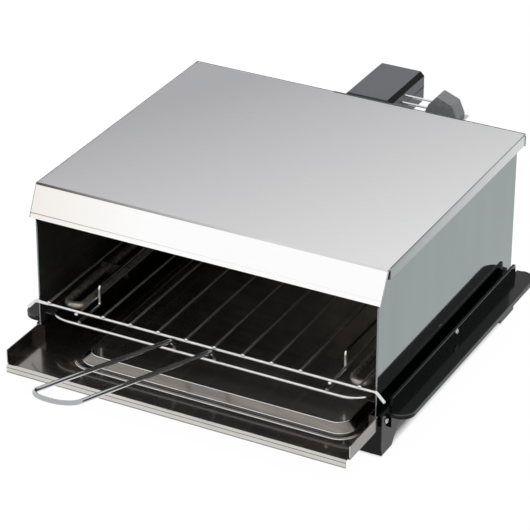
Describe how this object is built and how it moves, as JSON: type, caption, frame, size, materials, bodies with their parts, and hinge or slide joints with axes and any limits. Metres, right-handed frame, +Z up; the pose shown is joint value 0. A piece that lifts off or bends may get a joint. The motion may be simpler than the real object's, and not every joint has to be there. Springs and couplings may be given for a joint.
{
  "type": "open-front tabletop grill oven",
  "caption": "Open-front electric grill oven with a steel hood, slide-out wire rack with a wire handle, slide-out drip tray, black moulded base with side handles and a rear terminal box.",
  "frame": {"origin": "table plane under the centre of the overall box", "axes": "+Z up, -Y towards the open front, +X to the right seen from the front"},
  "size_m": [0.377, 0.6256, 0.1755],
  "materials": {
    "satin_steel": "satin rolled stainless sheet",
    "polished_steel": "bright annealed stainless sheet",
    "tray_steel": "pressed bright stainless sheet",
    "heater_sheath": "oxidised heater sheath",
    "grey_plastic": "fine textured moulding",
    "boot_plastic": "fine textured moulding",
    "porcelain": "glazed ceramic",
    "black_plastic": "glossy moulding",
    "pad_rubber": "soft rubber",
    "chrome_wire": "bright plated wire"
  },
  "bodies": {
    "oven": {"hood_top": "satin_steel", "side_panel_left": "polished_steel", "side_panel_right": "polished_steel", "rear_panel": "polished_steel", "lower_heater_left": "heater_sheath", "lower_heater_right": "heater_sheath", "upper_heater": "heater_sheath", "upper_hanger_left": "polished_steel", "upper_hanger_right": "polished_steel", "rack_runner_left": "polished_steel", "rack_runner_right": "polished_steel", "heater_support_left": "polished_steel", "heater_support_right": "polished_steel", "wiring_cover": "satin_steel", "terminal_neck": "grey_plastic", "terminal_box": "grey_plastic", "terminal_cover": "grey_plastic", "terminal_block": "porcelain", "cord_boot": "boot_plastic", "rear_bracket": "satin_steel", "lead_pins": "chrome_wire", "base_frame": "black_plastic", "foot_pad_front_left": "pad_rubber", "foot_pad_front_right": "pad_rubber", "foot_pad_rear_left": "pad_rubber", "foot_pad_rear_right": "pad_rubber", "side_handle_left": "black_plastic", "side_handle_right": "black_plastic"},
    "tray": {"drip_tray": "tray_steel"},
    "rack": {"rack_front_wire": "chrome_wire", "rack_rear_wire": "chrome_wire", "rack_long_wires": "chrome_wire", "rack_under_wires": "chrome_wire", "rack_lower_loop": "chrome_wire", "rack_side_rail_left": "chrome_wire", "rack_side_rail_right": "chrome_wire", "rack_handle": "chrome_wire"}
  },
  "joints": [
    {"name": "tray_slide", "type": "slide", "parent": "oven", "child": "tray", "axis": [0, -1, 0], "range_m": [0, 0.2]},
    {"name": "rack_slide", "type": "slide", "parent": "oven", "child": "rack", "axis": [0, -1, 0], "range_m": [0, 0.2]}
  ]
}
